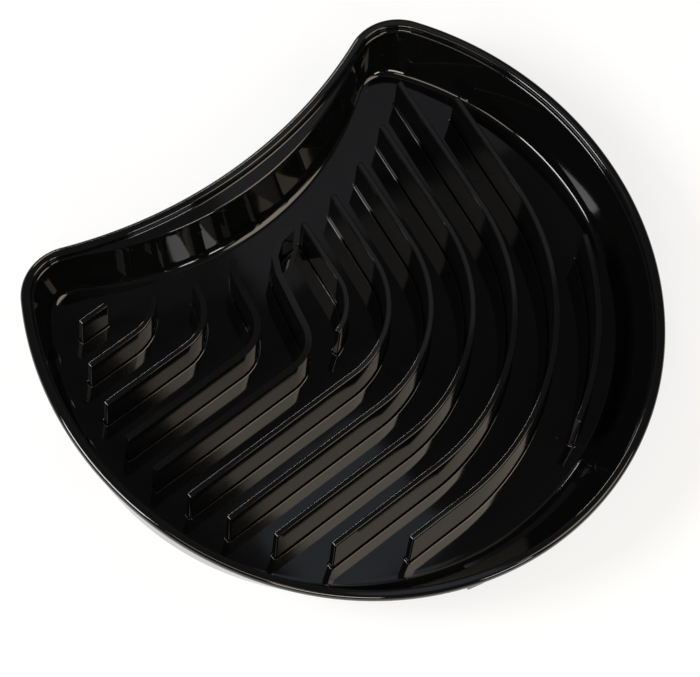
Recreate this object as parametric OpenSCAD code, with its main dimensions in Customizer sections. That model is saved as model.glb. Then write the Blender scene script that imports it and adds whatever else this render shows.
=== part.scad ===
// Crescent-shaped drip tray with parallel curved ribs, one glossy moulding shown as its members.
// Drawn about the middle of the rim's ellipse, front to -Y, then moved so that the origin is the
// middle of the underside. +Z is up and the tray stands on z = 0.

/* [Rim] */
// Width across the rim
rim_width = 186; // [170:1:215]
// From the middle of the rim's ellipse to its front edge
rim_front = 100; // [90:1:115]
// Width of the rolled bead along the rim
bead_w = 3; // [2.4:0.1:3.6]
// Height of the rolled bead
bead_h = 2.4; // [1.8:0.1:3]
// Rounding of the bead's outer edge
bead_round = 0.7; // [0.3:0.1:0.9]
// How far the bead stands out past the wall
overhang = 1; // [0.4:0.1:1.4]
// From the middle of the rim's ellipse to the hollow of the back edge
back_reach = 52; // [44:1:58]
// Radius of the back edge, which curves inwards
back_radius = 150; // [130:1:175]
// Radius of the rim round the two horns
horn_radius = 16.4; // [14:0.1:19]

/* [Walls] */
// Height of the tray
tray_h = 30; // [26:1:36]
// Thickness of the walls
wall = 2; // [1.6:0.1:2.4]
// How far the side wall leans in from its top to its foot
side_lean = 5.5; // [4:0.1:7]
// How far the front wall leans in from its top to its foot
front_lean = 14.5; // [10:0.5:17]
// How far the back wall leans in from its top to its foot
back_lean = 6; // [3:0.5:8]
// Width of the flat ledge behind the back wall, at its middle
ledge_w = 5; // [3.5:0.5:6]
// Thickness of the ledge
ledge_t = 2; // [1.6:0.1:2.4]
// Inside radius of the back wall at its top
back_wall_r = 106; // [98:1:115]
// Inside radius of the back wall at its foot
back_foot_r = 96; // [90:1:105]
// Inside corner radius in the horns at the top
corner_top_r = 12; // [9:0.5:14]
// Inside corner radius in the horns at the foot
corner_foot_r = 9; // [7:0.5:11]
// Distance from the middle line to where the back wall meets the horns' corner walls
corner_x = 52; // [46:1:58]
// Distance behind the ellipse's middle to where the front wall meets the horns' corner walls
corner_y = 44; // [36:1:46]

/* [Floor] */
// Thickness of the floor
floor_t = 2; // [1.6:0.1:2.4]
// Depth of the floor below the rim, at the middle of the ellipse
floor_depth = 22; // [19:0.5:23]
// Fall of the floor towards the front, in degrees
floor_fall = 2.5; // [2:0.5:4]

/* [Ribs] */
// Thickness of a rib
rib_t = 2; // [1.6:0.1:2.4]
// Distance from one rib to the next
rib_pitch = 12.6; // [11.5:0.1:13]
// Depth of the ribs' tops below the rim
rib_drop = 6.5; // [5:0.5:9]
// Side position of the centre that the swept ribs share
sweep_x = -12.7; // [-18:0.1:-8]
// Front-to-back position of the centre that the swept ribs share
sweep_y = 8.9; // [4:0.1:12]
// Radius of the innermost swept rib
sweep_r = 16.9; // [15:0.1:19]
// Direction of the swept ribs' upper ends, in degrees from +X
sweep_turn = 81; // [75:1:86]
// Space between the ribs' ends and the foot of the side wall
side_gap = 6.5; // [4:0.5:9]
// Space between the ribs' ends and the foot of the front wall
front_gap = 4; // [3:0.5:8]
// Space between the ribs' ends and the foot of the back wall
back_gap = 11.3; // [8:0.1:13]
// Length of the shortest rib, which is straight
stub_length = 9.8; // [7:0.1:11]
// Space between the lower end of the outermost rib and the foot of the front wall
outer_gap = 3.6; // [2:0.1:5]
// Direction of the outermost rib's upper end, in degrees from +X
outer_turn = 66; // [55:1:72]

/* [Front recess] */
// Width of the recess low in the front wall, inside at its floor
recess_w = 43; // [30:1:56]
// How far the recess reaches in front of the wall's foot
recess_reach = 7; // [5:0.5:9]
// Height of the recess's floor from the underside, a little over the tray's floor
recess_floor = 5.9; // [5:0.1:7]
// Height of the recess's top from the underside
recess_h = 11; // [8:0.5:14]
// Spread of each end of the recess, from its floor to its top
recess_spread = 2; // [0:0.5:4]

/* [Hidden] */
// Steps round the front, round a horn and along the back of every outline
front_steps = 84;
horn_steps = 10;
back_steps = 30;
// Larger than the tray in every direction
beyond = 300;
// Thin overlap that cutting shapes have past what they cut
past = 1;
plastic = "#141414";

// An outline is [half width, front reach, back circle's centre, its radius, horn radius]
rim_outline = [rim_width / 2, rim_front, back_reach + back_radius, back_radius, horn_radius];
// The top and the foot of the walls, inside
back_top_y = back_reach - bead_w - ledge_w;
top_inside = [rim_width / 2 - overhang - wall, rim_front - overhang - wall,
    back_top_y + back_wall_r, back_wall_r, corner_top_r];
foot_inside = [top_inside[0] - side_lean, top_inside[1] - front_lean,
    back_top_y - back_lean + back_foot_r, back_foot_r, corner_foot_r];
// An outline made larger all round
function grown(form, by) = [form[0] + by, form[1] + by, form[2], form[3] - by, form[4] + by];
top_outside = grown(top_inside, wall);
foot_outside = grown(foot_inside, wall);
bead_z = tray_h - bead_h;
ledge_z = bead_z - ledge_t;
floor_z = tray_h - floor_depth;
rib_top = tray_h - rib_drop;
recess_r = foot_inside[1] + recess_reach;

// Point on an outline's ellipse, and the outward direction there
function on_ellipse(form, t) = [form[0] * cos(t), form[1] * sin(t)];
function out_of_ellipse(form, t) =
    let (n = [form[1] * cos(t), form[0] * sin(t)]) n / norm(n);
// Centre of a horn's rounding where it leaves the ellipse at angle t
function horn_centre(form, t) = on_ellipse(form, t) - form[4] * out_of_ellipse(form, t);
// How far that rounding is from touching the back circle
function horn_miss(form, t) = norm(horn_centre(form, t) - [0, form[2]]) - form[3] - form[4];
// Angle at which the rounding touches both, by halving the interval
function horn_angle(form, low = 0, high = 85, turns = 30) =
    let (mid = (low + high) / 2)
    turns == 0 ? mid
        : horn_miss(form, mid) > 0 ? horn_angle(form, mid, high, turns - 1)
        : horn_angle(form, low, mid, turns - 1);
// Points round an outline, counter-clockwise from the left horn
function outline(form) =
    let (t = horn_angle(form),
        c = horn_centre(form, t),
        o = out_of_ellipse(form, t),
        first = atan2(o[1], o[0]),
        last = atan2(form[2] - c[1], -c[0]),
        side = atan2(c[1] - form[2], c[0]),
        horn = [for (i = [1 : horn_steps])
            let (a = first + (last - first) * i / horn_steps) c + form[4] * [cos(a), sin(a)]])
    concat(
        [for (i = [0 : front_steps]) on_ellipse(form, 180 - t + (180 + 2 * t) * i / front_steps)],
        horn,
        [for (i = [1 : back_steps])
            let (a = side - (180 + 2 * side) * i / back_steps)
            [form[3] * cos(a), form[2] + form[3] * sin(a)]],
        [for (i = [horn_steps - 1 : -1 : 1]) [-horn[i - 1][0], horn[i - 1][1]]]);

horn_top_y = horn_centre(rim_outline, horn_angle(rim_outline))[1] + horn_radius;
to_origin = [0, (rim_front - horn_top_y) / 2, 0];

// The corners of the four-sided face between two rings of n points, as two triangles. The faces on
// the right split the other way, so that both halves of the tray mirror each other.
function split(low, high, i, n) =
    let (j = (i + 1) % n, right = i >= front_steps / 2 && i < front_steps + horn_steps + back_steps / 2)
    right ? [[low + i, high + i, low + j], [low + j, high + i, high + j]]
        : [[low + i, high + i, high + j], [low + i, high + j, low + j]];
function turned(face) = [face[0], face[2], face[1]];

// Solid between outlines stacked one over another; each level is [z, outline]
module stack(levels) {
    rings = [for (l = levels) [for (p = outline(l[1])) [p[0], p[1], l[0]]]];
    n = len(rings[0]);
    m = len(levels);
    polyhedron(
        points = [for (r = rings) each r],
        faces = concat(
            [[for (i = [0 : n - 1]) i]],
            [for (k = [0 : m - 2]) for (i = [0 : n - 1]) each split(k * n, (k + 1) * n, i, n)],
            [[for (i = [n - 1 : -1 : 0]) (m - 1) * n + i]]),
        convexity = 10);
}

// Solid that follows a closed section all round; the section is a list of [z, outline], going up
// its inner side and down its outer side
module hoop(section) {
    rings = [for (l = section) [for (p = outline(l[1])) [p[0], p[1], l[0]]]];
    n = len(rings[0]);
    m = len(section);
    polyhedron(
        points = [for (r = rings) each r],
        faces = [for (k = [0 : m - 1]) for (i = [0 : n - 1])
            for (f = split(k * n, (k + 1) % m * n, i, n)) turned(f)],
        convexity = 10);
}

// The walls all round, and the space inside them, which carries on straight up past their top
module walls() hoop([[0, foot_inside], [bead_z, top_inside], [bead_z, top_outside], [0, foot_outside]]);
module inside() stack([[0, foot_inside], [bead_z, top_inside], [bead_z + past, top_inside]]);
// Space above the plane of the floor, moved down by the given amount
module above_floor(down = 0) translate([0, 0, floor_z - down]) rotate([floor_fall, 0, 0])
    translate([-beyond / 2, -beyond / 2, 0]) cube([beyond, beyond, beyond]);

// Regions that share the walls out between the front, the back and the corners
module back_region() translate([-corner_x, 0, -past]) cube([2 * corner_x, beyond, beyond]);
module corner_region(side) translate([side < 0 ? -beyond : corner_x, corner_y, -past])
    cube([beyond - (side < 0 ? corner_x : 0), beyond, beyond]);
module front_region() difference() {
    translate([-beyond, corner_y - beyond, -past]) cube([2 * beyond, beyond, beyond]);
    back_region();
}

// Recess low in the front wall: its shell and its hollow, which is open to the tray
module recess_block(r, half_w, low, high) intersection() {
    translate([0, 0, low]) cylinder(r = r, h = high - low, $fn = 180);
    rotate([90, 0, 0]) linear_extrude(height = beyond)
        polygon([[-half_w, low], [half_w, low],
            [half_w + recess_spread, high], [-half_w - recess_spread, high]]);
    translate([-beyond / 2, -beyond, -past]) cube([beyond, beyond - foot_inside[1] / 2, beyond]);
}
module recess_shell() recess_block(recess_r + wall, recess_w / 2 + wall, 0, recess_h + wall);
module recess_hollow() recess_block(recess_r, recess_w / 2, recess_floor, recess_h);

// A rib's line is a list of [x, y, heading]; a strip is drawn along it
function arc_line(centre, r, from, to) =
    let (n = max(3, ceil(abs(to - from) * r / 120)))
    [for (i = [0 : n]) let (h = from + (to - from) * i / n)
        [centre[0] + r * sin(h), centre[1] - r * cos(h), h]];
// An arc that carries on from the end of a line; a negative radius turns right
function turn_from(p, r, to) =
    let (c = [p[0] - r * sin(p[2]), p[1] + r * cos(p[2])]) arc_line(c, r, p[2], to);
function ahead(p, length) = [p[0] + length * cos(p[2]), p[1] + length * sin(p[2]), p[2]];
// Distance ahead of a point to the ends' limit near the front and side walls
function to_side(p) =
    let (a = foot_inside[0] - side_gap, b = foot_inside[1] - front_gap,
        q = [p[0] / a, p[1] / b], d = [cos(p[2]) / a, sin(p[2]) / b],
        dd = d * d, qd = q * d)
    (-qd + sqrt(max(0, qd * qd - dd * (q * q - 1)))) / dd;
// Distance ahead of a point to the ends' limit near the back wall
function to_back(p) =
    let (q = [p[0], p[1] - foot_inside[2]], d = [cos(p[2]), sin(p[2])],
        r = foot_inside[3] + back_gap, qd = q * d, s = qd * qd - q * q + r * r)
    s < 0 ? beyond : -qd - sqrt(s);
function to_limit(p) = max(0.01, min(to_side(p), to_back(p)));
function finished(line) = concat(line, [ahead(line[len(line) - 1], to_limit(line[len(line) - 1]))]);
// Left end of a straight run at y
function left_end(y) =
    let (q = y / (foot_inside[1] - front_gap))
    [-(foot_inside[0] - side_gap) * sqrt(max(0, 1 - q * q)), y, 0];

module rib(line) color(plastic) translate(to_origin) intersection() {
    linear_extrude(height = rib_top) polygon(concat(
        [for (p = line) [p[0] + rib_t / 2 * sin(p[2]), p[1] - rib_t / 2 * cos(p[2])]],
        [for (i = [len(line) - 1 : -1 : 0]) let (p = line[i])
            [p[0] - rib_t / 2 * sin(p[2]), p[1] + rib_t / 2 * cos(p[2])]]));
    above_floor();
}
// Rib 1 is a short straight stub. Ribs 2 to 5 run straight from the left and turn up to the back.
// Each row: where it starts to turn, the radius, the heading after it, the length of the straight
// that follows, the radius of the turn back and the last heading.
rib_turns = [
    [-55, 15, 50, 0, 0, 0],
    [-45.5, 14, 75, 0, 0, 0],
    [-34.5, 12, 77, 10, 14, 45],
    [-24.8, 11, 75, 19, 12.5, -4]];
function leg_y(k) = sweep_y - sweep_r + (5 - k) * rib_pitch;
function stub_line() = [left_end(leg_y(1)), ahead(left_end(leg_y(1)), stub_length)];
function bent_line(k) =
    let (row = rib_turns[k - 2], y = leg_y(k),
        leg = [left_end(y), [row[0], y, 0]],
        bend = turn_from(leg[1], row[1], row[2]),
        up = row[3] == 0 ? [] : [ahead(bend[len(bend) - 1], row[3])],
        back = row[4] == 0 ? [] : turn_from(up[0], -row[4], row[5]))
    finished(concat(leg, bend, up, back));
// Ribs 6 to 12 sweep round one centre. The middle five have a straight run from the left first,
// where there is room for it in front.
inner_start = 16.5;
function swept(r, h) = [sweep_x + r * sin(h), sweep_y - r * cos(h)];
// Heading at which a swept rib comes inside a limit that stays the given gaps from the walls' foot
function first_heading(r, side, front, low = 0, high = 50, turns = 24) =
    let (mid = (low + high) / 2, p = swept(r, mid),
        q = [p[0] / (foot_inside[0] - side), p[1] / (foot_inside[1] - front)])
    turns == 0 ? mid
        : norm(q) > 1 ? first_heading(r, side, front, mid, high, turns - 1)
        : first_heading(r, side, front, low, mid, turns - 1);
function swept_line(k) =
    let (c = [sweep_x, sweep_y], r = sweep_r + (k - 6) * rib_pitch, y = sweep_y - r,
        has_leg = abs(y) < foot_inside[1] - front_gap && left_end(y)[0] < sweep_x)
    k == 6 ? finished(arc_line(c, r, inner_start, sweep_turn))
        : k == 12 ? arc_line(c, r, first_heading(r, outer_gap, outer_gap), outer_turn)
        : has_leg ? finished(concat([left_end(y)], arc_line(c, r, 0, sweep_turn)))
        : finished(arc_line(c, r, first_heading(r, side_gap, front_gap), sweep_turn));

module floor_pan() color(plastic) translate(to_origin) difference() {
    intersection() {
        inside();
        above_floor(floor_t);
    }
    above_floor();
}
module front_wall() color(plastic) translate(to_origin) difference() {
    intersection() {
        walls();
        front_region();
    }
    recess_shell();
}
module back_wall() color(plastic) translate(to_origin) intersection() {
    walls();
    back_region();
    translate([-beyond, -beyond, 0]) cube([2 * beyond, 2 * beyond, ledge_z]);
}
module corner_wall(side) color(plastic) translate(to_origin) intersection() {
    walls();
    corner_region(side);
}
module bead() hoop([
    [bead_z, grown(rim_outline, -bead_w)],
    [tray_h, grown(rim_outline, -bead_w)],
    [tray_h, grown(rim_outline, -bead_round)],
    [tray_h - bead_round, rim_outline],
    [bead_z + bead_round, rim_outline],
    [bead_z, grown(rim_outline, -bead_round / 2)]]);
module front_rim() color(plastic) translate(to_origin) difference() {
    bead();
    back_region();
}
module back_rim() color(plastic) translate(to_origin) intersection() {
    bead();
    back_region();
}
module back_ledge() color(plastic) translate(to_origin) difference() {
    intersection() {
        translate([0, 0, ledge_z]) linear_extrude(height = ledge_t)
            polygon(outline(grown(rim_outline, -overhang)));
        back_region();
    }
    inside();
}
module front_recess() color(plastic) translate(to_origin) difference() {
    recess_shell();
    recess_hollow();
    inside();
}

floor_pan();
front_wall();
back_wall();
corner_wall(-1);  // left_corner
corner_wall(1);  // right_corner
front_rim();
back_rim();
back_ledge();
front_recess();
rib(stub_line());  // rib_01
rib(bent_line(2));  // rib_02
rib(bent_line(3));  // rib_03
rib(bent_line(4));  // rib_04
rib(bent_line(5));  // rib_05
rib(swept_line(6));  // rib_06
rib(swept_line(7));  // rib_07
rib(swept_line(8));  // rib_08
rib(swept_line(9));  // rib_09
rib(swept_line(10));  // rib_10
rib(swept_line(11));  // rib_11
rib(swept_line(12));  // rib_12
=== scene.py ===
import math

import bmesh
import bpy
from mathutils import Matrix, Quaternion, Vector


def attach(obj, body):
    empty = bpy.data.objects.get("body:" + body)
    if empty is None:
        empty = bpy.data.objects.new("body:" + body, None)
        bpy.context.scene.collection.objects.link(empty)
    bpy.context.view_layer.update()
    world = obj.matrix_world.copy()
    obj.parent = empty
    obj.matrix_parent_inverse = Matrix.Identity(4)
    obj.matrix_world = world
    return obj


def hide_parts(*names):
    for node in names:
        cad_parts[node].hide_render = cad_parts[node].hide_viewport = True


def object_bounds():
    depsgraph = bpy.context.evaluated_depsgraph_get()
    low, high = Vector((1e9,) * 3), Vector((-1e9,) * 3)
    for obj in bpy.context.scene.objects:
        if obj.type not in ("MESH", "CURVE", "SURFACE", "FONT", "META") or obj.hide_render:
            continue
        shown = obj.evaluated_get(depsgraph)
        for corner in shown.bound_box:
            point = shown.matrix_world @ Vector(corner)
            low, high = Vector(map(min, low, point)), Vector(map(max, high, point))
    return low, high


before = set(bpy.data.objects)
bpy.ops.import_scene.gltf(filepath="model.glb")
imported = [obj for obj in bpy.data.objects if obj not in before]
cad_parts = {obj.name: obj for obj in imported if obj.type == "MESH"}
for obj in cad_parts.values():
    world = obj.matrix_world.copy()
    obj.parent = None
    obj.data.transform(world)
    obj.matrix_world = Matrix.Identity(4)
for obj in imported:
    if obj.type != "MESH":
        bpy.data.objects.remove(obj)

# The box of the whole CAD tray, before anything stands in for its pieces.
cad_low, cad_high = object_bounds()

# ---------------------------------------------------------------------------------------------
# Camera
# It stands nearly a metre off and looks steeply down over the tray's front left, a little turned
# about its own line of sight, through a long lens that keeps the ribs almost parallel.
# ---------------------------------------------------------------------------------------------
camera_place = Vector((-0.3150, -0.2788, 0.9305))
camera_aim = Vector((-0.0086, 0.0045, cad_high.z))
camera_turn = math.radians(8.02)
sensor_width, focal_length = 36, 173.3

camera_data = bpy.data.cameras.new("camera")
camera_data.sensor_width = sensor_width
camera_data.lens = focal_length
camera = bpy.data.objects.new("camera", camera_data)
camera.location = camera_place
camera.rotation_mode = "QUATERNION"
camera.rotation_quaternion = (
    (camera_aim - camera_place).to_track_quat("-Z", "Y") @ Quaternion((0, 0, 1), camera_turn)
)
bpy.context.scene.collection.objects.link(camera)
bpy.context.scene.camera = camera


# ---------------------------------------------------------------------------------------------
# Walls
# The tray is one moulding of glossy black plastic, taken to be ABS. Its walls are one section,
# 2 mm thick measured level and leaning outwards, that is carried round a crescent outline, with a
# rounded corner down to the floor.
# ---------------------------------------------------------------------------------------------
mm = 0.001
tray_h = cad_high.z / mm
wall_t, floor_t, ledge_t = 2.0, 2.0, 2.0
bead_w, bead_h = 3.0, 2.4
bead_z = tray_h - bead_h
ledge_z = bead_z - ledge_t
# the floor's depth below the rim, at the middle of the ellipse, and its fall to the front
floor_depth, floor_fall = 22.0, math.radians(2.5)
floor_z = tray_h - floor_depth
floor_rise = math.tan(floor_fall)
# roundings from floor to wall, at the foot's outer and inner edge, and under the floor's edge
corner_round, foot_outer_round, foot_inner_round, under_round = 3.0, 0.5, 0.3, 1.0
# height that the rounding under the floor's edge leaves free above the foot
under_spare = 0.35
# how far inside the wall the floor's own piece ends, just past the rounded corner
toe = 3.4
# An outline is half its width, its reach to the front, the place and radius of the circle that
# hollows the back, and the rounding of the horns. Both are measured from the middle of an ellipse.
rim_outer = (93.0, 100.0, 202.0, 150.0, 16.4)
top_inner = (90.0, 97.0, 150.0, 106.0, 12.0)
foot_inner = (84.5, 82.5, 134.0, 96.0, 9.0)
ellipse_y = rim_outer[1] + cad_low.y / mm
front_steps, horn_steps, back_steps = 252, 24, 90
# a horn leaves the ellipse somewhere below this angle, and halving the range finds the place
horn_limit, halvings = math.radians(85), 40


def grown(form, by):
    """The outline form, larger all round."""
    half, reach, back_y, back_r, horn_r = form
    return (half + by, reach + by, back_y, back_r - by, horn_r + by)


def horn_centre(form, t):
    """Centre of the horn's rounding that leaves the ellipse at angle t, and its direction there."""
    half, reach, _, _, horn_r = form
    out = Vector((reach * math.cos(t), half * math.sin(t))).normalized()
    return Vector((half * math.cos(t), reach * math.sin(t))) - horn_r * out, out


def outline(form):
    """Points round the crescent, counter-clockwise from where the left horn meets the ellipse."""
    half, reach, back_y, back_r, horn_r = form
    back_centre = Vector((0, back_y))
    low, high = 0.0, horn_limit
    for _ in range(halvings):
        t = (low + high) / 2
        miss = (horn_centre(form, t)[0] - back_centre).length - back_r - horn_r
        low, high = (t, high) if miss > 0 else (low, t)
    centre, out = horn_centre(form, t)
    first = math.atan2(out.y, out.x)
    last = math.atan2(back_y - centre.y, -centre.x)
    side = math.atan2(centre.y - back_y, centre.x)
    points = []
    for i in range(front_steps + 1):
        a = math.pi - t + (math.pi + 2 * t) * i / front_steps
        points.append(Vector((half * math.cos(a), reach * math.sin(a))))
    horn = []
    for i in range(1, horn_steps + 1):
        a = first + (last - first) * i / horn_steps
        horn.append(centre + horn_r * Vector((math.cos(a), math.sin(a))))
    points += horn
    for i in range(1, back_steps + 1):
        a = side - (math.pi + 2 * side) * i / back_steps
        points.append(back_centre + back_r * Vector((math.cos(a), math.sin(a))))
    return points + [Vector((-p.x, p.y)) for p in reversed(horn[:-1])]


foot_line = outline(foot_inner)
top_line = outline(top_inner)
rim_line = outline(rim_outer)
bead_line = outline(grown(rim_outer, -bead_w))
# a station is one number round all four lines
count = len(foot_line)


def rounded(corners, steps=6):
    """A closed section from its corners, each an offset, a height and a radius or None if sharp."""
    points = []
    for k, (u, z, radius) in enumerate(corners):
        corner = Vector((u, z))
        if radius is None:
            points.append(corner)
            continue
        before = (Vector(corners[k - 1][:2]) - corner).normalized()
        after = (Vector(corners[(k + 1) % len(corners)][:2]) - corner).normalized()
        half = before.angle(after) / 2
        centre = corner + (before + after).normalized() * radius / math.sin(half)
        start = corner + before * radius / math.tan(half) - centre
        end = corner + after * radius / math.tan(half) - centre
        for s in range(steps + 1):
            points.append(centre + start.lerp(end, s / steps).normalized() * radius)
    return points


def placed(base, out, section):
    """A section's points in the row frame; it stands upright on base and looks along out."""
    points = []
    for u, z in section:
        p = base + u * out
        points.append(Vector((p.x, p.y + ellipse_y, z)) * mm)
    return points


def floor_at(p):
    """Height of the floor's top at a point of the outline's plane."""
    return floor_z + p.y * floor_rise


def wall_frame(i):
    """A station's foot, outward direction and lean, and where the wall meets the floor's faces."""
    foot, lean = foot_line[i], (top_line[i] - foot_line[i])
    out = lean.normalized()
    rate = lean.length / bead_z
    meets = []
    for drop in (0, floor_t):
        z = (floor_at(foot) - drop) / (1 - out.y * floor_rise * rate)
        meets.append((z * rate, z))
    return foot, out, rate, meets


def floor_end(foot, out, inside):
    """Offset and height of the line where the floor's own piece ends and the wall's begins."""
    start = inside[0] - toe
    return start, floor_at(foot + start * out)


def wall_up_to(i, height, top_round=None, reach=None):
    """The section of a wall from the floor's end to a level top.

    Its outside leans with the inside, or stands upright where it is given a reach.
    """
    foot, out, rate, (inside, under) = wall_frame(i)
    start, start_z = floor_end(foot, out, inside)
    lean = rate * height
    outer_top, outer_foot = (lean + wall_t, wall_t) if reach is None else (reach, reach)
    return placed(foot, out, rounded([
        (start, start_z, None),
        (*inside, corner_round),
        (lean, height, top_round),
        (outer_top, height, None),
        (outer_foot, 0, foot_outer_round),
        (0, 0, foot_inner_round),
        (*under, min(under_round, under[1] - under_spare)),
        (start, start_z - floor_t, None),
    ]))


# a gap between wall and bead that is narrower than this is no ledge
least_ledge = 0.02
# the ledge's inner edge is rounded, by no more than this share of the ledge's width
ledge_edge_round, ledge_edge_share = 0.9, 0.8


def ledge_width(i):
    """Width of the flat between the top of the inner wall and the bead; none round the front."""
    gap = bead_line[i] - top_line[i]
    return gap.length if gap.length > least_ledge else 0.0


def ledge_round(i):
    """Rounding of the ledge's inner edge at a station."""
    return min(ledge_edge_round, ledge_edge_share * ledge_width(i))


def wall_section(i):
    """The wall of the front and the horns, which ends under the bead."""
    return wall_up_to(i, bead_z, ledge_round(i))


def back_section(i):
    """The wall of the back, which ends under the ledge."""
    return wall_up_to(i, ledge_z)


# points nearer than the first distance become one, and slivers thinner than the second go
weld, sliver = 0.002 * mm, 0.001 * mm


def swept(first, last, section):
    """A closed solid that carries the section from one station to another."""
    bm = bmesh.new()
    number = bm.verts.layers.int.new("number")
    ring = [bm.verts.new(p) for p in section(first)]
    for k, v in enumerate(ring):
        v[number] = k
    edges = [bm.edges.new((ring[k - 1], ring[k])) for k in range(len(ring))]
    bmesh.ops.edgeloop_fill(bm, edges=edges)
    for i in range(first + 1, last + 1):
        places = section(i % count)
        made = bmesh.ops.extrude_edge_only(bm, edges=edges)["geom"]
        moved = {g for g in made if isinstance(g, bmesh.types.BMVert)}
        for v in moved:
            v.co = places[v[number]]
        edges = [g for g in made if isinstance(g, bmesh.types.BMEdge) and moved.issuperset(g.verts)]
    bmesh.ops.edgeloop_fill(bm, edges=edges)
    bmesh.ops.remove_doubles(bm, verts=bm.verts, dist=weld)
    bmesh.ops.dissolve_degenerate(bm, edges=bm.edges, dist=sliver)
    bmesh.ops.recalc_face_normals(bm, faces=bm.faces)
    return bm


def srgb(code):
    """Linear colour from an sRGB hex value, by the standard's own curve."""
    parts = [int(code[k : k + 2], 16) / 255 for k in (1, 3, 5)]
    return [c / 12.92 if c <= 0.04045 else ((c + 0.055) / 1.055) ** 2.4 for c in parts] + [1.0]


def add_node(tree, kind, links=None, **settings):
    """Adds a node; settings are its attributes or, by their labels, its inputs' values."""
    made = tree.nodes.new(kind)
    for key, value in settings.items():
        label = key.replace("_", " ")
        found = [s for s in made.inputs if s.name == label]
        if found:
            found[0].default_value = value
        else:
            setattr(made, key, value)
    for label, source in (links or {}).items():
        tree.links.new(source, made.inputs[label])
    return made


# ABS moulded in a polished steel tool: a deep black whose gloss shows everything above it as in a
# dark mirror. The flow of the melt leaves a faint waviness, and handling leaves fine dust.
def polished_abs():
    """The one plastic of the whole tray."""
    material = bpy.data.materials.new("polished_abs")
    material.use_nodes = True
    tree = material.node_tree
    tree.nodes.clear()
    place = add_node(tree, "ShaderNodeTexCoord").outputs["Object"]
    # specks of dust up to about 0.3 mm across, in cells of 2.2 mm; the surface passes by the
    # middle of most cells, so the specks that show lie further apart than that
    specks = add_node(tree, "ShaderNodeTexVoronoi", {"Vector": place}, Scale=1 / (2.2 * mm))
    dust = add_node(
        tree, "ShaderNodeMapRange", {"Value": specks.outputs["Distance"]},
        From_Min=0.10, From_Max=0.04,
    )
    colour = add_node(tree, "ShaderNodeValToRGB", {"Fac": dust.outputs["Result"]})
    colour.color_ramp.elements[0].color = srgb("#0a0a0a")
    colour.color_ramp.elements[1].color = srgb("#191817")
    # waves of the melt, about 14 mm across, which also vary the gloss
    waves = add_node(
        tree, "ShaderNodeTexNoise", {"Vector": place}, Scale=1 / (14 * mm), Detail=1.0
    ).outputs["Fac"]
    gloss = add_node(tree, "ShaderNodeMapRange", {"Value": waves}, To_Min=0.03, To_Max=0.075)
    wavy = add_node(tree, "ShaderNodeBump", {"Height": waves}, Strength=0.05, Distance=0.4 * mm)
    # the tool's own polish, 0.6 mm, coarser than the real one so that it shows
    polish = add_node(
        tree, "ShaderNodeTexNoise", {"Vector": place}, Scale=1 / (0.6 * mm), Detail=2.0
    ).outputs["Fac"]
    fine = add_node(
        tree, "ShaderNodeBump", {"Height": polish, "Normal": wavy.outputs["Normal"]},
        Strength=0.01, Distance=0.02 * mm,
    )
    shade = add_node(
        tree, "ShaderNodeBsdfPrincipled",
        {
            "Base Color": colour.outputs["Color"],
            "Roughness": gloss.outputs["Result"],
            "Normal": fine.outputs["Normal"],
        },
        IOR=1.54,
    )
    add_node(tree, "ShaderNodeOutputMaterial", {"Surface": shade.outputs["BSDF"]})
    return material


abs_black = polished_abs()
# faces that meet at less than this angle are shaded as one smooth surface
smooth_below = math.radians(32)


def flat_kept(mesh, limit):
    """Corner normals that weigh the faces by area, so that flats stay flat beside the roundings."""
    meeting = [[] for _ in mesh.vertices]
    for face in mesh.polygons:
        for v in face.vertices:
            meeting[v].append((face.normal.copy(), face.area))
    normals = []
    for face in mesh.polygons:
        for v in face.vertices:
            total = Vector()
            for normal, area in meeting[v]:
                if normal.dot(face.normal) > limit:
                    total += normal * area
            normals.append(total.normalized() if total.length > 0 else face.normal)
    return normals


def moulded(bm, name, *nodes):
    """Finishes a mesh as a smooth piece of the tray that stands for CAD nodes."""
    mesh = bpy.data.meshes.new(name)
    bm.to_mesh(mesh)
    bm.free()
    mesh.shade_smooth()
    mesh.normals_split_custom_set(flat_kept(mesh, math.cos(smooth_below)))
    mesh.materials.append(abs_black)
    piece = bpy.data.objects.new(name, mesh)
    bpy.context.scene.collection.objects.link(piece)
    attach(piece, "root")
    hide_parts(*nodes)


# The walls' stretches meet at the first station past this distance to the side or to the back.
corner_x, corner_y = 52.0, 44.0
back_middle = front_steps + horn_steps + back_steps // 2
front_left = next(i for i in range(front_steps) if top_line[i].y < corner_y)
front_right = next(i for i in range(front_steps // 2, front_steps + 1) if top_line[i].y > corner_y)
back_right = next(i for i in range(front_steps, count) if top_line[i].x < corner_x)
back_left = next(i for i in range(back_middle, count) if top_line[i].x < -corner_x)

moulded(swept(back_right, back_left, back_section), "back_wall", "back_wall")
moulded(swept(front_right, back_right, wall_section), "right_corner", "right_corner")
moulded(swept(back_left, front_left + count, wall_section), "left_corner", "left_corner")


# ---------------------------------------------------------------------------------------------
# Front wall and recess
# The bowed front wall is cut away low in its middle, and a shallow recess with its own shell
# fills the place. Both are of the walls' plastic and come out of the same tool.
# ---------------------------------------------------------------------------------------------
recess_half, recess_reach = 21.5, 89.5
recess_low, recess_high = 5.9, 11.0
# how much further out each end of the recess lies at its top than at its bottom
recess_spread = 2.0
# the shell is swept this far past each end of the recess, and the notch's block cuts it off
recess_margin = 8
# the notch's block reaches past everything at the front and below
notch_reach, notch_below = 120.0, 1.0
block_steps = 720


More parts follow.
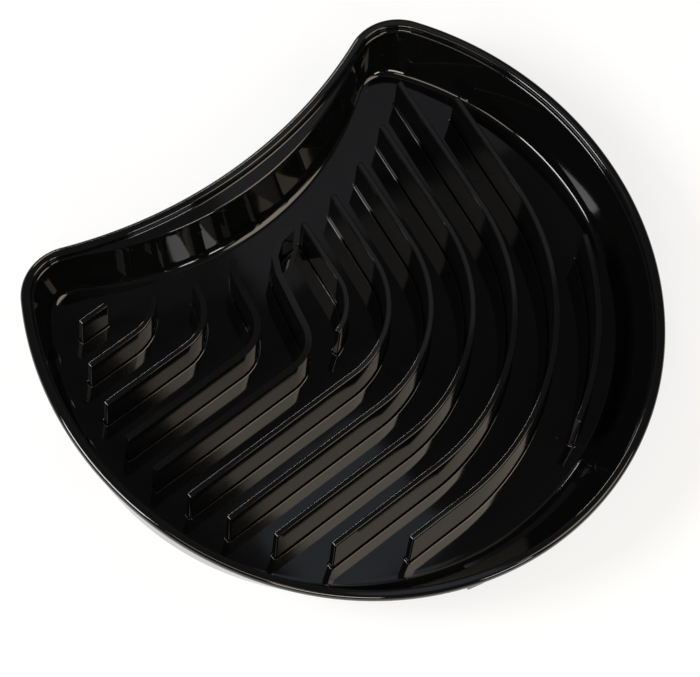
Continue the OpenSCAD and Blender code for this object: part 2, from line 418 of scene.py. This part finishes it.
def recess_cutter(half, low, high, radius, name, below=0.0):
    """A block round the front's middle whose ends spread upwards, bounded by a round front.

    It can reach a little below its low level, so that it cuts right through.
    """
    bm = bmesh.new()
    place = Matrix.Translation(Vector((0, ellipse_y, (low - below + high) / 2)) * mm)
    bmesh.ops.create_cone(
        bm, cap_ends=True, segments=block_steps, radius1=radius * mm, radius2=radius * mm,
        depth=(high - low + below) * mm, matrix=place,
    )
    slope = recess_spread / (high - low)
    sides = [
        (Vector((half, 0, low)), Vector((1, 0, -slope))),
        (Vector((-half, 0, low)), Vector((-1, 0, -slope))),
        (Vector((0, ellipse_y - foot_inner[1] / 2, 0)), Vector((0, 1, 0))),
    ]
    for point, normal in sides:
        cut = bmesh.ops.bisect_plane(
            bm, geom=bm.verts[:] + bm.edges[:] + bm.faces[:], plane_co=point * mm, plane_no=normal,
            clear_outer=True,
        )["geom_cut"]
        bmesh.ops.edgeloop_fill(bm, edges=[g for g in cut if isinstance(g, bmesh.types.BMEdge)])
    bmesh.ops.recalc_face_normals(bm, faces=bm.faces)
    mesh = bpy.data.meshes.new(name)
    bm.to_mesh(mesh)
    bm.free()
    cutter = bpy.data.objects.new(name, mesh)
    bpy.context.scene.collection.objects.link(cutter)
    return cutter


def cut_by(bm, cutters):
    """The mesh after boolean cuts; each cutter comes with its operation."""
    mesh = bpy.data.meshes.new("blank")
    bm.to_mesh(mesh)
    bm.free()
    blank = bpy.data.objects.new("blank", mesh)
    bpy.context.scene.collection.objects.link(blank)
    for cutter, operation in cutters:
        cut = blank.modifiers.new(cutter.name, "BOOLEAN")
        cut.object = cutter
        cut.operation = operation
        cut.solver = "EXACT"
    bpy.context.view_layer.update()
    result = bmesh.new()
    result.from_object(blank, bpy.context.evaluated_depsgraph_get())
    bpy.data.objects.remove(blank)
    bmesh.ops.remove_doubles(result, verts=result.verts, dist=weld)
    bmesh.ops.dissolve_degenerate(result, edges=result.edges, dist=sliver)
    return result


def recess_section(i):
    """The wall's lower part, standing out to the recess's own round front."""
    return wall_up_to(
        i, recess_high + wall_t, reach=recess_reach + wall_t - foot_line[i].length
    )


notch = recess_cutter(
    recess_half + wall_t, 0, recess_high + wall_t, notch_reach, "notch", below=notch_below
)
hollow = recess_cutter(recess_half, recess_low, recess_high, recess_reach, "hollow")
front_bm = cut_by(swept(front_left, front_right, wall_section), [(notch, "DIFFERENCE")])
moulded(front_bm, "front_wall", "front_wall")
recess_end = recess_half + recess_margin
recess_first = next(i for i in range(front_steps) if foot_line[i].x > -recess_end)
recess_last = next(i for i in range(front_steps) if foot_line[i].x > recess_end)
recess_bm = cut_by(
    swept(recess_first, recess_last, recess_section), [(notch, "INTERSECT"), (hollow, "DIFFERENCE")]
)
moulded(recess_bm, "front_recess", "front_recess")
bpy.data.objects.remove(notch)
bpy.data.objects.remove(hollow)


# ---------------------------------------------------------------------------------------------
# Ledge and bead
# Behind the back wall a flat ledge widens to 5 mm, and a bead runs along the tray's whole edge and
# stands 1 mm proud of the wall. Both are part of the same moulding, and stiffen it.
# ---------------------------------------------------------------------------------------------
overhang = 1.0
ledge_under_round = 0.4
bead_inner_round, bead_outer_round, bead_under_round = 0.7, 1.1, 0.6
# the fillet from ledge to bead, by no more than this share of the ledge's width; where there is
# no ledge it shrinks to the least one
bead_fillet, bead_fillet_share, least_fillet = 0.8, 0.5, 0.01


def ledge_section(i):
    """The ledge, from the slope of the wall under it to under the bead."""
    out = (rim_line[i] - bead_line[i]).normalized()
    end = (bead_line[i] + (bead_w - overhang) * out) - top_line[i]
    rate = (top_line[i] - foot_line[i]).length / bead_z
    down = rate * (bead_z - ledge_z)
    return placed(top_line[i], end.normalized(), rounded([
        (-down, ledge_z, None),
        (0, bead_z, ledge_round(i)),
        (end.length, bead_z, None),
        (end.length, ledge_z, ledge_under_round),
    ]))


def bead_section(i):
    """The bead, with its fillet on the ledge and its overhang outside the wall."""
    out = (rim_line[i] - bead_line[i]).normalized()
    foot = max(least_fillet, min(bead_fillet, bead_fillet_share * ledge_width(i)))
    return placed(bead_line[i], out, rounded([
        (-foot, bead_z, None),
        (0, bead_z, foot),
        (0, tray_h, bead_inner_round),
        (bead_w, tray_h, bead_outer_round),
        (bead_w, bead_z, bead_under_round),
        (bead_w - overhang, bead_z, None),
    ]))


moulded(swept(back_right, back_left, ledge_section), "back_ledge", "back_ledge")
moulded(swept(back_right, back_left, bead_section), "back_rim", "back_rim")
moulded(swept(back_left, back_right + count, bead_section), "front_rim", "front_rim")


# ---------------------------------------------------------------------------------------------
# Floor
# A flat floor, 2 mm thick, that falls towards the front so that drips gather there. It is part of
# the same moulding, and runs on into the rounded corners of the walls.
# ---------------------------------------------------------------------------------------------
floor_bm = bmesh.new()
floor_edge = []
for i in range(count):
    foot, out, _, (inside, _) = wall_frame(i)
    for p in placed(foot, out, [floor_end(foot, out, inside)]):
        floor_edge.append(floor_bm.verts.new(p))
floor_face = floor_bm.faces.new(floor_edge)
lower = bmesh.ops.extrude_face_region(floor_bm, geom=[floor_face])["geom"]
lower_verts = [g for g in lower if isinstance(g, bmesh.types.BMVert)]
bmesh.ops.translate(floor_bm, verts=lower_verts, vec=(0, 0, -floor_t * mm))
bmesh.ops.recalc_face_normals(floor_bm, faces=floor_bm.faces)
moulded(floor_bm, "floor_pan", "floor_pan")


# ---------------------------------------------------------------------------------------------
# Ribs
# Twelve upright ribs, 2 mm thick, are moulded on the floor and end level with one another. Each is
# the CAD rib, with its top and ends rounded as the tool leaves them and a small fillet at its foot.
# ---------------------------------------------------------------------------------------------
rib_drop = 6.5
rib_top = cad_high.z - rib_drop * mm
level_within = 0.01 * mm
rib_round, rib_round_steps = 0.45, 4
fillet, fillet_steps = 0.5, 4
# faces that meet at less than the first angle are one face; an edge sharper than the second that
# rises by more than this is the corner of a rib's end
flat_below, end_above = math.radians(0.3), math.radians(60)
end_rise = 5 * mm
# a face whose normal points down by more than this is the rib's underside
facing_down = -0.5
floor_normal = Vector((0, -floor_rise, 1)).normalized()
floor_point = Vector((0, ellipse_y, floor_z)) * mm


def rib_piece(node):
    """Rounds a copy of the CAD rib and draws its foot out into a fillet on the floor."""
    bm = bmesh.new()
    bm.from_mesh(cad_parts[node].data)
    bmesh.ops.remove_doubles(bm, verts=bm.verts, dist=weld)
    bmesh.ops.dissolve_limit(
        bm, angle_limit=flat_below, use_dissolve_boundaries=False, verts=bm.verts, edges=bm.edges
    )
    rim = [e for e in bm.edges if all(abs(v.co.z - rib_top) < level_within for v in e.verts)]
    ends = [e for e in bm.edges if e.calc_face_angle(0) > end_above
            and abs(e.verts[0].co.z - e.verts[1].co.z) > end_rise]
    bmesh.ops.bevel(
        bm, geom=rim + ends, offset=rib_round * mm, affect="EDGES", segments=rib_round_steps,
        profile=0.5, material=-1, clamp_overlap=True,
    )
    underside = [f for f in bm.faces if f.normal.z < facing_down]
    bmesh.ops.delete(bm, geom=underside, context="FACES")
    rings = []
    for k in range(fillet_steps + 1):
        a = math.pi / 2 * k / fillet_steps
        height, spread = fillet * (1 - math.cos(a)), fillet * (1 - math.sin(a))
        if k == 0:
            ring = [v for e in bm.edges if e.is_boundary for v in e.verts]
        else:
            cut = bmesh.ops.bisect_plane(
                bm, geom=bm.verts[:] + bm.edges[:] + bm.faces[:],
                plane_co=floor_point + floor_normal * height * mm, plane_no=floor_normal,
            )["geom_cut"]
            ring = [g for g in cut if isinstance(g, bmesh.types.BMVert)]
        rings.append((list(dict.fromkeys(ring)), spread * mm))
    bm.normal_update()
    moves = []
    for ring, spread in rings:
        for v in ring:
            sideways = Vector((v.normal.x, v.normal.y, 0)).normalized()
            level = Vector((sideways.x, sideways.y, sideways.y * floor_rise))
            moves.append((v, level * spread * v.calc_shell_factor()))
    for v, move in moves:
        v.co += move
    bmesh.ops.holes_fill(bm, edges=[e for e in bm.edges if e.is_boundary], sides=0)
    bmesh.ops.recalc_face_normals(bm, faces=bm.faces)
    moulded(bm, node + "_rounded", node)


for node in sorted(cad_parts):
    if node.startswith("rib_"):
        rib_piece(node)


# ---------------------------------------------------------------------------------------------
# Ejector marks
# Faint rings on the floor are taken for the marks of the pins that push the moulding out of the
# tool: round pads of the same plastic, 0.1 mm high, and a small pip near the left horn.
# ---------------------------------------------------------------------------------------------
pad, pip = (2.5, 0.1), (0.9, 0.5)
mark_taper, mark_steps = 0.1, 48
marks = [
    ((3.1, -4.7), pad), ((29.8, -50.3), pad), ((64.8, 29.9), pad), ((37.4, 35.9), pad),
    ((-76.3, 44.7), pip),
]
marks_bm = bmesh.new()
square_to_floor = Vector((0, 0, 1)).rotation_difference(floor_normal).to_matrix().to_4x4()
for (x, y), (radius, height) in marks:
    on_floor = Vector((x, y, floor_z + (y - ellipse_y) * floor_rise))
    bmesh.ops.create_cone(
        marks_bm, cap_ends=True, segments=mark_steps, radius1=radius * mm,
        radius2=(radius - mark_taper) * mm, depth=2 * height * mm,
        matrix=Matrix.Translation(on_floor * mm) @ square_to_floor,
    )
moulded(marks_bm, "ejector_marks")


# ---------------------------------------------------------------------------------------------
# Table and studio
# The tray stands on a seamless sheet of white paper, which glows a little so that it stays an even
# white. The room is dark grey, and the gloss shows the shapes of the soft boxes in it.
# ---------------------------------------------------------------------------------------------
# half the table's width and the soft boxes' distance from the tray, in metres
table_half, light_distance = 6.0, 1.2

paper = bpy.data.materials.new("white_paper")
paper.use_nodes = True
paper_tree = paper.node_tree
paper_tree.nodes.clear()
paper_place = add_node(paper_tree, "ShaderNodeTexCoord").outputs["Object"]
# the paper's fibres, 3 mm, coarser than real ones
paper_grain = add_node(
    paper_tree, "ShaderNodeTexNoise", {"Vector": paper_place}, Scale=1 / (3 * mm)
)
paper_bump = add_node(
    paper_tree, "ShaderNodeBump", {"Height": paper_grain.outputs["Fac"]},
    Strength=0.05, Distance=0.1 * mm,
)
paper_shade = add_node(
    paper_tree, "ShaderNodeBsdfPrincipled", {"Normal": paper_bump.outputs["Normal"]},
    Roughness=0.9, Base_Color=srgb("#8a8a8a"),
    Emission_Color=srgb("#ffffff"), Emission_Strength=0.75,
)
add_node(paper_tree, "ShaderNodeOutputMaterial", {"Surface": paper_shade.outputs["BSDF"]})

table_bm = bmesh.new()
bmesh.ops.create_grid(table_bm, x_segments=2, y_segments=2, size=table_half)
table_mesh = bpy.data.meshes.new("table")
table_bm.to_mesh(table_mesh)
table_bm.free()
table_mesh.materials.append(paper)
table = bpy.data.objects.new("table", table_mesh)
bpy.context.scene.collection.objects.link(table)

room = bpy.data.worlds.new("room")
room.use_nodes = True
room_light = room.node_tree.nodes["Background"]
room_light.inputs["Color"].default_value = srgb("#404042")
room_light.inputs["Strength"].default_value = 1.0
bpy.context.scene.world = room


def soft_box(name, towards, along, width, length, radiance, colour="#ffffff", shape="RECTANGLE"):
    """A lit rectangle or ellipse that faces the tray from a direction, its length along another.

    At a radiance of 1 its picture in a perfect mirror is just full white.
    """
    data = bpy.data.lights.new(name, "AREA")
    data.shape = shape
    data.size, data.size_y = width, length
    data.color = srgb(colour)[:3]
    data.energy = radiance * math.pi * width * length * (math.pi / 4 if shape == "ELLIPSE" else 1)
    light = bpy.data.objects.new(name, data)
    back = Vector(towards).normalized()
    side = Vector(along).cross(back).normalized()
    turn = Matrix((side, back.cross(side), back)).transposed().to_4x4()
    light.matrix_world = Matrix.Translation(back * light_distance) @ turn
    bpy.context.scene.collection.objects.link(light)


soft_box(
    "umbrella", (0.39, -0.40, 0.83), (0.10, -0.80, -0.60), 0.44, 0.96, 3.6, "#fff1dd", "ELLIPSE"
)
soft_box("warm_left", (-0.46, -0.12, 0.88), (0, 1, 0), 0.22, 0.50, 4.0, "#fff3e2")
soft_box("key_left", (-0.65, 0.28, 0.70), (0, 1, 0), 0.45, 0.45, 16.0)
soft_box("low_front", (0.05, -0.80, 0.60), (1, 0, 0), 0.20, 0.25, 12.0)
soft_box("warm_front_left", (-0.60, -0.56, 0.57), (0.6, -0.6, 0), 0.30, 0.50, 10.0, "#fff3e2")
soft_box("back", (0.20, 0.70, 0.69), (1, 0, 0), 0.15, 0.25, 15.0)
soft_box("cool_behind", (0.37, 0.34, 0.87), (1, 0, 0), 0.24, 0.22, 0.20, "#f2f5ff")
soft_box("cool_above", (0.245, 0.14, 0.96), (1, 0, 0), 0.10, 0.10, 0.40, "#e8f0ff")
soft_box("warm_back_left", (-0.25, 0.30, 0.92), (1, 0, 0), 0.12, 0.20, 0.7, "#fff8f0")

# no film curve: a colour is shown as it is
bpy.context.scene.view_settings.view_transform = "Standard"
